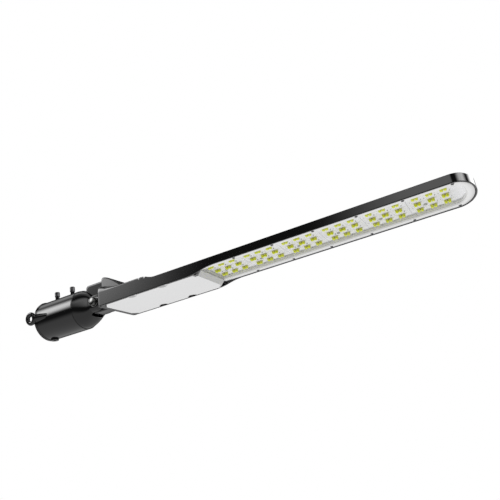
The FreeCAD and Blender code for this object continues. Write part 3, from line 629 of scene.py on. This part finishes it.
def lamp_places(group):
    """Middles of the nine lamps of a group, counted from 0."""
    return [(FIRST_LAMP + GROUP_PITCH * group + PITCH * column, ROW_PITCH * row)
            for column in range(3) for row in (-1, 0, 1)]


def lamp_points(piece):
    """Places of a piece's points in millimetres, x and y from the middle of the nearest lamp."""
    points = np.empty(len(piece.data.vertices) * 3)
    piece.data.vertices.foreach_get("co", points)
    x, y, z = points.reshape(-1, 3).T / MM
    x = x - FIRST_LAMP
    half_gap = (GROUP_PITCH - 2 * PITCH) / 2
    x = x - GROUP_PITCH * np.clip(np.floor((x + half_gap) / GROUP_PITCH), 0, 5)
    x = x - PITCH * np.clip(np.round(x / PITCH), 0, 2)
    return x, y - ROW_PITCH * np.round(y / ROW_PITCH), z


def marked(piece, name, values):
    """Stores one number for each point of a piece, for its finish to read."""
    layer = piece.data.attributes.new(name, "FLOAT", "POINT")
    layer.data.foreach_set("value", np.asarray(values, dtype=np.float32))


yellow = phosphor()
for number in range(1, 7):
    grids = [(cushion(2.5, 2.9, BOARD_FACE, LAMP_FACE) + np.array([x + step, y, 0]), False, True)
             for x, y in lamp_places(number - 1) for step in (-EMITTER_STEP, EMITTER_STEP)]
    lamps = shell(f"lamp_group_{number}", grids, 60.0)
    x, y, z = lamp_points(lamps)
    # Painted shade: marks the gap between each lamp's two emitters, most near the middle and
    # towards the board.
    gap_painted_shade = np.clip(1.2 - np.abs(x) / 1.3, 0, 1) * np.clip((z + 10.2) / 1.6, 0, 0.85)
    marked(lamps, "between", gap_painted_shade)
    dressed(lamps, "head", "led_phosphor", yellow, f"led_chips_{number}")

# Lens plate: one moulding in clear polycarbonate, with a frosted flange that
# is screwed down along both sides, a sunk clear field that carries the lenses,
# and a frosted rib behind that hides the edge of the boards.
PLATE_START = 367.0
PLATE_HALF = 47.7
PLATE_TIP = 26.0
FLANGE_FACE = -14.4
TRAY_FACE = -12.0


def clear_plastic(name):
    """Clear polycarbonate, and a shade from 0 to 1 for how much it is seen edge on."""
    plastic = Finish(name, Base_Color=(0.86, 0.87, 0.88, 1), IOR=1.58, Roughness=0.05)
    return plastic, plastic.node("ShaderNodeLayerWeight", {}, {"Blend": 0.25}, "Facing")


def frosted_plate():
    """The plate's finish: clear in the sunk field, frosted white on the flange and its step."""
    plate, edge_on = clear_plastic("lens_plate_plastic")
    plate.feed("Alpha", edge_on * 0.12 + 0.05)
    frost = plate.node("ShaderNodeBsdfPrincipled", {},
                       {"Base Color": (0.87, 0.87, 0.87, 1), "Roughness": 0.35}, 0)
    level = plate.node("ShaderNodeSeparateXYZ", {}, {0: plate.place}, "Z")
    on_flange = plate.node("ShaderNodeMapRange", {"interpolation_type": "SMOOTHSTEP"},
                           {0: level, 1: -0.01235, 2: -0.01205, 3: 1.0, 4: 0.0})
    clear = Shade(plate, plate.shader.outputs[0])
    both = plate.node("ShaderNodeMixShader", {}, {0: on_flange, 1: clear, 2: frost})
    plate.tree.links.new(both.socket, plate.tree.nodes["Material Output"].inputs[0])
    return plate.material


def plate_edge(inset, count_side=40, count_tip=72):
    """Closed outline of the plate drawn in by inset: two straight sides and half an ellipse."""
    half = PLATE_HALF - inset
    start = PLATE_START + inset
    straight = np.linspace(start, TIP_MIDDLE, count_side)
    t = np.linspace(np.pi / 2, -np.pi / 2, count_tip)[1:-1]
    far = np.stack([straight, np.full(count_side, half)], 1)
    tip = np.stack([TIP_MIDDLE + (PLATE_TIP - inset) * np.cos(t), half * np.sin(t)], 1)
    near = np.stack([straight[::-1], np.full(count_side, -half)], 1)
    rear = np.stack([np.full(20, start), np.linspace(-half, half, 22)[1:-1]], 1)
    return np.concatenate([far, tip, near, rear])


def plate_rings(section):
    """The plate's outline at each (inset, level) of a section."""
    outlines = [plate_edge(inset) for inset, _ in section]
    return [np.column_stack([outline, np.full(len(outline), z)])
            for outline, (_, z) in zip(outlines, section)]


rings = plate_rings([(0.0, TRAY_FACE), (0.0, -14.1), (0.3, FLANGE_FACE), (8.9, FLANGE_FACE),
                     (9.4, -14.2), (10.6, -12.2), (11.2, TRAY_FACE), (12.5, TRAY_FACE)])
spine = rings[-1].copy()
spine[:, 0] = np.clip(spine[:, 0], PLATE_START + 30, TIP_MIDDLE - 10)
spine[:, 1] = 0
rings.append(spine)
back = [ring + np.array([0, 0, 2.4]) for ring in rings[:0:-1]]
plate = shell("lens_plate_sheet", [(np.array(rings + back), True, True)], 50.0)
dressed(plate, "head", "clear_lens", frosted_plate(), "lens_plate")
rib_rings = plate_rings([(11.2, -11.95), (11.2, -9.7), (10.42, -9.6), (10.42, -6.0), (9.7, -6.0),
                         (9.7, -11.95)])
rib = shell("lens_plate_rib", [(np.array(rib_rings), True, True)], 50.0)
frost = Finish("frosted_rib", Roughness=0.5)
frost.feed("Base Color", frost.blend(frost.noise(200.0), (0.8, 0.8, 0.8, 1), (0.84, 0.84, 0.84, 1)))
dressed(rib, "head", "clear_lens", frost.material)

# Lenses: fifty-four clear oblong lenses on the plate, one over each pair of
# emitters, with two lobes that throw the light along the road.
def lens_grid(rows=14, sides=40):
    """Twin-lobe lens about the middle of its foot.

    The foot is a superellipse of power 3. The height is a dome, (1 - r^2.6)^0.55, times a
    dip between the two lobes, 1 - 0.22 * exp(-(x / 2.2)^2).
    """
    r = 1 - np.linspace(0, 1, rows) ** 1.6
    t = np.linspace(0, 2 * np.pi, sides, endpoint=False)
    oblong = (np.abs(np.cos(t)) ** 3 + np.abs(np.sin(t)) ** 3) ** (-1 / 3)
    x = 8.5 * r[:, None] * (oblong * np.cos(t))[None]
    y = 5.4 * r[:, None] * (oblong * np.sin(t))[None]
    dome = (1 - r ** 2.6) ** 0.55
    z = TRAY_FACE - 2.7 * dome[:, None] * (1 - 0.22 * np.exp(-(x / 2.2) ** 2))
    return np.stack([x, y, z], -1)


def moulded_lens():
    """The lens's finish: clear, with more body edge on and a painted grey shade at each end."""
    lens, edge_on = clear_plastic("clear_lens_plastic")
    # Painted shade: each end of the lens is made grey and nearly opaque.
    end = lens.node("ShaderNodeAttribute", {"attribute_name": "end_painted_shade"}, {}, "Fac")
    lens.feed("Alpha", edge_on * 0.08 + 0.02 + end * 0.75)
    lens.feed("Base Color", lens.blend(end, (0.86, 0.87, 0.88, 1), (0.12, 0.12, 0.13, 1)))
    return lens.material


lens_grids = [(lens_grid() + np.array([x, y, 0]), False, True)
              for group in range(6) for x, y in lamp_places(group)]
lenses = shell("lens_domes", lens_grids, 80.0)
x, y, z = lamp_points(lenses)
# Painted shade: marks both ends of each lens, near its middle line.
end_shade_mask = np.clip((np.abs(x) - 6.5) / 0.8, 0, 1) * np.clip(2.2 - np.abs(y), 0, 1)
marked(lenses, "end_painted_shade", end_shade_mask)
dressed(lenses, "head", "clear_lens", moulded_lens())

# Screws of the lens plate, the boards and the cover: steel pan heads, rounded
# towards a recess in the middle.
WELL_FLOOR = -19.4


def pan_heads(name, places, face, radius, height):
    """Pan heads at the places, pointing down from the face they press on."""
    grids = []
    for x, y in places:
        profile = [(0, face), (radius, face), (radius, face - 0.3 * height),
                   (0.8 * radius, face - 0.85 * height), (0.4 * radius, face - height),
                   (0.25 * radius, face - 0.55 * height), (0, face - 0.4 * height)]
        grids.append((turned(profile, "Z", (x, y, 0), 24), False, True))
    return shell(name, grids)


lens_places = [(375.1 + GROUP_PITCH * k, side * 43.4) for k in range(7) for side in (-1, 1)]
lens_screws = pan_heads("lens_plate_screws", lens_places, FLANGE_FACE, 2.4, 0.9)
dull_steel = blackened_steel("dull_screw_steel", (0.1, 0.1, 0.105, 1))
plain_steel = blackened_steel("plain_screw_steel", (0.45, 0.45, 0.45, 1))
dressed(lens_screws, "head", "steel", dull_steel, "lens_screws")
board_places = [(FIRST_LAMP + 10.0 + GROUP_PITCH * k, ROW_PITCH / 2) for k in range(6)]
board_screws = pan_heads("board_screw_heads", board_places, BOARD_FACE, 2.8, 1.8)
dressed(board_screws, "head", "steel", plain_steel, "board_screws")
cover_places = [(241.0 + 64.0 * k, side * 43.8) for k in range(2) for side in (-1, 1)]
cover_screws = pan_heads("cover_screw_heads", cover_places, WELL_FLOOR, 3.6, 1.0)
dressed(cover_screws, "head", "steel", plain_steel, "cover_screws")

# Driver cover: white moulded lid of the driver bay, satin, with a sloping nose
# that closes on the lens plate and a well for each of its screws.
def satin_white():
    """Satin white moulding with a very fine grain."""
    white = Finish("satin_white_moulding", Base_Color=(0.84, 0.84, 0.84, 1), Roughness=0.42)
    grain = white.noise(1600.0)
    clouds = white.noise(12.0)
    white.feed("Base Color", white.blend(clouds, (0.82, 0.82, 0.825, 1), (0.86, 0.86, 0.86, 1)))
    white.relief(grain, 0.00003, 0.3)
    return white.material


def cover_grids():
    """Cover as a height over its plan, with a skirt and a lid inside that close it.

    Half width 46.3, drawn in to 34.3 at the rear corners and to 38.7 beside the nose.
    Height = the flat, less the slope of the nose, less a soft round well at each screw:
    2.8 * smooth step over the last 3 mm of the well's radius of 9.6.
    """
    x = np.unique(np.concatenate([np.linspace(175.0, 185.0, 6), np.linspace(185.0, 360.0, 141),
                                  [365.8, 366.0, 371.0, 371.5, 372.0],
                                  np.linspace(373.0, 378.0, 5)]))
    rear, wide, nose = 34.3, 46.3, 38.7
    half = np.where(x < 185.0, rear + (wide - rear) * (x - 175.0) / 10.0, wide)
    half = np.where(x > 365.9, nose, half)
    y = half[:, None] * np.sin(np.linspace(-np.pi / 2, np.pi / 2, 91))[None]
    x = np.broadcast_to(x[:, None], y.shape)
    z = BAY_RIM + 7.7 * np.clip((x - 371.5) / 6.5, 0, 1)
    for well_x, well_y in cover_places:
        near = np.clip((9.6 - np.hypot(x - well_x, y - well_y * 1.08)) / 3.0, 0, 1)
        z = z + 2.8 * near * near * (3 - 2 * near)
    face = np.stack([x, y, z], -1)
    edge = np.concatenate([face[0], face[1:, -1], face[-1, -2::-1], face[-2:0:-1, 0]])
    inner = np.column_stack([edge[:, :2], np.maximum(edge[:, 2] + 0.4, WELL_FLOOR)])
    centre = np.broadcast_to([280.0, 0.0, -14.6], edge.shape)
    return [(face, False, False), (np.array([edge, inner, centre]), False, True)]


cover = shell("driver_cover_moulding", cover_grids(), 28.0)
dressed(cover, "head", "white_cover", satin_white(), "driver_cover")

# Pieces inside the bay and behind the plate: seals, driver, terminal block,
# surge protector and the breather vent on the roof. They keep their CAD form.
def plain(name, colour, roughness, metallic, grain):
    """Plain finish with a fine grain that varies its colour and gloss a little."""
    finish = Finish(name, Metallic=metallic)
    clouds = finish.noise(grain)
    dark = tuple(0.85 * c for c in colour) + (1,)
    finish.feed("Base Color", finish.blend(clouds, dark, tuple(colour) + (1,)))
    finish.feed("Roughness", clouds * 0.1 + roughness)
    finish.relief(clouds, 0.00003, 0.4)
    return finish.material


grey_silicone = plain("grey_silicone", (0.1, 0.1, 0.1), 0.6, 0.0, 500.0)
cast_case = plain("plain_aluminium", (0.6, 0.61, 0.62), 0.4, 1.0, 350.0)
grey_moulding = plain("grey_moulding", (0.3, 0.31, 0.32), 0.5, 0.0, 700.0)
black_moulding = plain("black_moulding", (0.02, 0.02, 0.02), 0.45, 0.0, 700.0)
inner_pieces = {
    "lens_gasket": (grey_silicone, "seal"), "cover_gasket": (grey_silicone, "seal"),
    "cable_gland": (grey_silicone, "seal"), "led_driver": (cast_case, "driver_case"),
    "driver_screws": (silver, "steel"), "terminal_block": (grey_moulding, "grey_plastic"),
    "surge_protector": (grey_moulding, "grey_plastic"),
    "breather_vent": (black_moulding, "black_plastic"),
}
for node, (material, slot) in inner_pieces.items():
    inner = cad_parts[node]
    inner.data.materials.clear()
    inner.data.materials.append(material)

# Studio: a white background, even light all round and one broad soft lamp from
# below. For the glossy coat there are the soft boxes and the pale floor of a
# product studio, given by direction.
world = bpy.data.worlds.new("studio")
bpy.context.scene.world = world
world.use_nodes = True
world.cycles.sampling_method = "NONE"


class Sky(Finish):
    """The world's node tree, with the same way of making nodes as a material's."""

    def __init__(self, tree):
        self.tree = tree
        self.place = self.node("ShaderNodeTexCoord", {}, {}, "Generated")


def studio_sky(tree):
    """Brightness by direction for reflections, even for diffuse light, white for the camera.

    Azimuth is turned from -Y towards -X, and elevation is above the horizon, in degrees.
    """
    sky = Sky(tree)
    x = sky.node("ShaderNodeSeparateXYZ", {}, {0: sky.place}, "X")
    y = sky.node("ShaderNodeSeparateXYZ", {}, {0: sky.place}, "Y")
    z = sky.node("ShaderNodeSeparateXYZ", {}, {0: sky.place}, "Z")
    degrees = 180 / np.pi
    azimuth = sky.node("ShaderNodeMath", {"operation": "ARCTAN2"}, {0: 0 - x, 1: 0 - y}) * degrees
    elevation = sky.node("ShaderNodeMath", {"operation": "ARCSINE"}, {0: z}) * degrees

    def ramp(value, low, high):
        """Smooth step from 0 at low to 1 at high."""
        return sky.node("ShaderNodeMapRange", {"interpolation_type": "SMOOTHSTEP"},
                        {0: value, 1: low, 2: high, 3: 0.0, 4: 1.0})

    def falling(value, low, high):
        """Smooth step from 1 at low to 0 at high."""
        return sky.node("ShaderNodeMapRange", {"interpolation_type": "SMOOTHSTEP"},
                        {0: value, 1: low, 2: high, 3: 1.0, 4: 0.0})

    floor = falling(elevation, -24.0, -2.0) * 0.7
    key = (ramp(azimuth, 29.0, 50.0) * falling(azimuth, 52.0, 84.0)
           * ramp(elevation, 9.0, 29.0) * falling(elevation, 34.0, 52.0)) * 8.6
    band = ramp(elevation, 10.0, 20.0) * falling(elevation, 34.0, 52.0)
    side = falling(azimuth, 4.0, 17.0) * ramp(azimuth, -17.0, -1.0) * band * 2.1
    front = falling(azimuth, -78.0, -44.0) * ramp(azimuth, -116.0, -92.0) * band * 7.2
    far = falling(azimuth, -138.0, -120.0) * ramp(azimuth, -172.0, -145.0) * band * 5.0
    rear = (ramp(azimuth, 70.0, 95.0) * falling(azimuth, 104.0, 130.0)
            * ramp(elevation, 34.0, 46.0))
    overhead = ramp(elevation, 60.0, 75.0) * 0.6
    mirrored = floor + key + side + front + far + rear + overhead + 0.05
    path = {name: sky.node("ShaderNodeLightPath", {}, {}, name)
            for name in ("Is Glossy Ray", "Is Camera Ray", "Is Transmission Ray")}
    glossy = path["Is Glossy Ray"]
    seen = path["Is Camera Ray"] + path["Is Transmission Ray"]
    even = (1 - glossy) * (1 - seen) * 0.36
    level = glossy * (1 - path["Is Camera Ray"]) * mirrored + seen + even
    background = tree.nodes["Background"]
    background.inputs["Color"].default_value = (1, 1, 1, 1)
    tree.links.new(level.socket, background.inputs["Strength"])


studio_sky(world.node_tree)

lamp = bpy.data.lights.new("soft_lamp", "SUN")
lamp.energy = 2.05
lamp.angle = np.radians(50)
lamp_object = bpy.data.objects.new("soft_lamp", lamp)
lamp_from = Vector((-0.4, 0.4, -0.82))
lamp_object.visible_glossy = False
lamp_object.rotation_mode = "QUATERNION"
lamp_object.rotation_quaternion = lamp_from.to_track_quat("Z", "Y")
bpy.context.scene.collection.objects.link(lamp_object)

# Floor: a pale round sheet well below the head, for the views from above. Only
# the camera sees it, so it sends no light back to the head.
def floor_finish():
    """Pale matt floor, part lit and part glowing, so that it is near white without clipping."""
    floor = Finish("pale_floor", Base_Color=(0.75, 0.75, 0.75, 1), Roughness=0.9)
    floor.shader.inputs["Emission Color"].default_value = (1, 1, 1, 1)
    floor.shader.inputs["Emission Strength"].default_value = 0.71
    floor.shader.inputs["Specular IOR Level"].default_value = 0.0
    floor.feed("Base Color", floor.blend(floor.noise(3.0), (0.74, 0.74, 0.74, 1),
                                         (0.76, 0.76, 0.76, 1)))
    return floor.material


floor_rings = [(0.0, -1400.0), (2400.0, -1400.0), (2400.0, -1402.0), (0.0, -1402.0)]
pale_floor = shell("studio_floor", [(turned(floor_rings, "Z", (400, 0, 0), 96), False, True)])
pale_floor.data.materials.append(floor_finish())
for ray in ("diffuse", "glossy", "transmission", "shadow", "volume_scatter"):
    setattr(pale_floor, "visible_" + ray, False)

# Camera: below the head and in front of it, looking up, with a slight roll, as
# in the photograph.
camera_data = bpy.data.cameras.new("camera")
camera_data.lens = 38.4127
camera_data.sensor_width = 36.0
camera_data.clip_start = 0.02
camera = bpy.data.objects.new("camera", camera_data)
right = (0.87552611, 0.45695396, -0.15699397)
up = (0.29758613, -0.25399698, 0.92028693)
backwards = (0.38065276, -0.85245446, -0.35836416)
place = (0.7902806, -0.7536128, -0.3089826)
camera.matrix_world = Matrix([[right[i], up[i], backwards[i], place[i]] for i in range(3)]
                             + [[0, 0, 0, 1]])
bpy.context.scene.collection.objects.link(camera)
bpy.context.scene.camera = camera
bpy.context.scene.view_settings.view_transform = "Standard"
